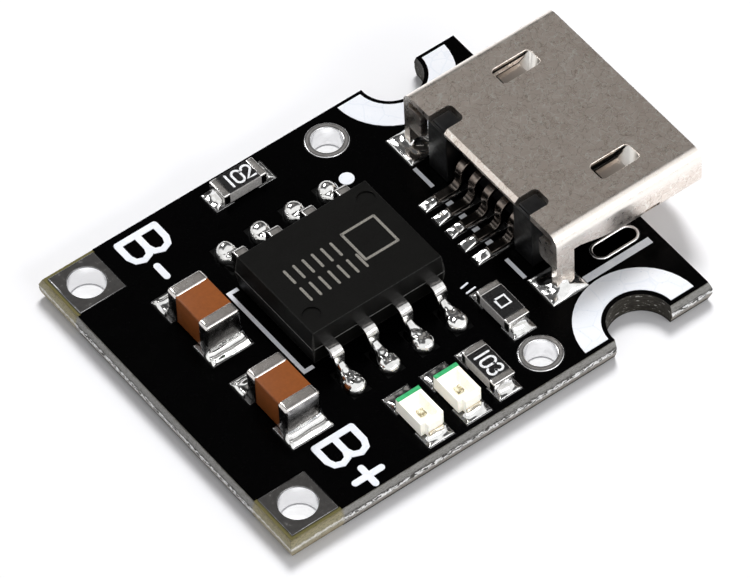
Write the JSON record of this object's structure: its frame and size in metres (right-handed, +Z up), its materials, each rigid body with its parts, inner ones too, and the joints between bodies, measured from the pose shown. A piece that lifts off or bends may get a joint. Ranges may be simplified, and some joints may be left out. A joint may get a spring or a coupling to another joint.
{
  "type": "lithium battery charger module",
  "caption": "Small flat circuit board with a micro USB socket on its edge, a charging chip, small chip parts, indicator lamps and plated battery wire holes.",
  "frame": {"origin": "middle of the module's footprint (board and socket together), on the underside of the board", "axes": "+X from the battery end to the USB mouth, +Y from the positive to the negative battery pad, +Z up, out of the face that carries the parts"},
  "size_m": [0.0174, 0.0128, 0.0032],
  "materials": {
    "laminate": "satin",
    "solder_mask": "gloss",
    "tinned_copper": "satin",
    "white_print": "matt",
    "epoxy_body": "satin",
    "tinned_lead": "satin",
    "solder": "gloss",
    "nickel_steel": "satin",
    "insulator_plastic": "satin",
    "contact_metal": "satin",
    "brown_ceramic": "satin",
    "capacitor_cap": "satin",
    "white_ceramic": "matt",
    "black_coating": "satin",
    "lamp_housing": "satin",
    "lamp_die": "gloss",
    "lamp_filling": "gloss",
    "green_mark": "matt"
  },
  "bodies": {
    "root": {"circuit_board": "laminate", "solder_mask_top": "solder_mask", "solder_mask_bottom": "solder_mask", "component_pads": "tinned_copper", "battery_terminal_negative": "tinned_copper", "battery_terminal_positive": "tinned_copper", "board_eyelet_negative_side": "tinned_copper", "board_eyelet_positive_side": "tinned_copper", "slot_plating_negative_side": "tinned_copper", "slot_plating_positive_side": "tinned_copper", "silkscreen": "white_print", "chip_body": "epoxy_body", "chip_thermal_pad": "tinned_copper", "chip_solder": "solder", "usb_shell": "nickel_steel", "usb_insulator": "insulator_plastic", "usb_solder": "solder", "capacitor_solder": "solder", "resistor_solder": "solder", "lamp_solder": "solder", "chip_lead_1": "tinned_lead", "chip_lead_2": "tinned_lead", "chip_lead_3": "tinned_lead", "chip_lead_4": "tinned_lead", "chip_lead_5": "tinned_lead", "chip_lead_6": "tinned_lead", "chip_lead_7": "tinned_lead", "chip_lead_8": "tinned_lead", "usb_contact_1": "contact_metal", "usb_contact_2": "contact_metal", "usb_contact_3": "contact_metal", "usb_contact_4": "contact_metal", "usb_contact_5": "contact_metal", "capacitor_1_ceramic": "brown_ceramic", "capacitor_1_terminals": "capacitor_cap", "capacitor_2_ceramic": "brown_ceramic", "capacitor_2_terminals": "capacitor_cap", "resistor_1_ceramic": "white_ceramic", "resistor_1_terminals": "capacitor_cap", "resistor_1_coating": "black_coating", "resistor_2_ceramic": "white_ceramic", "resistor_2_terminals": "capacitor_cap", "resistor_2_coating": "black_coating", "resistor_3_ceramic": "white_ceramic", "resistor_3_terminals": "capacitor_cap", "resistor_3_coating": "black_coating", "lamp_1_housing": "lamp_housing", "lamp_1_terminals": "contact_metal", "lamp_1_die": "lamp_die", "lamp_1_filling": "lamp_filling", "lamp_1_cathode_mark": "green_mark", "lamp_2_housing": "lamp_housing", "lamp_2_terminals": "contact_metal", "lamp_2_die": "lamp_die", "lamp_2_filling": "lamp_filling", "lamp_2_cathode_mark": "green_mark"}
  },
  "joints": []
}
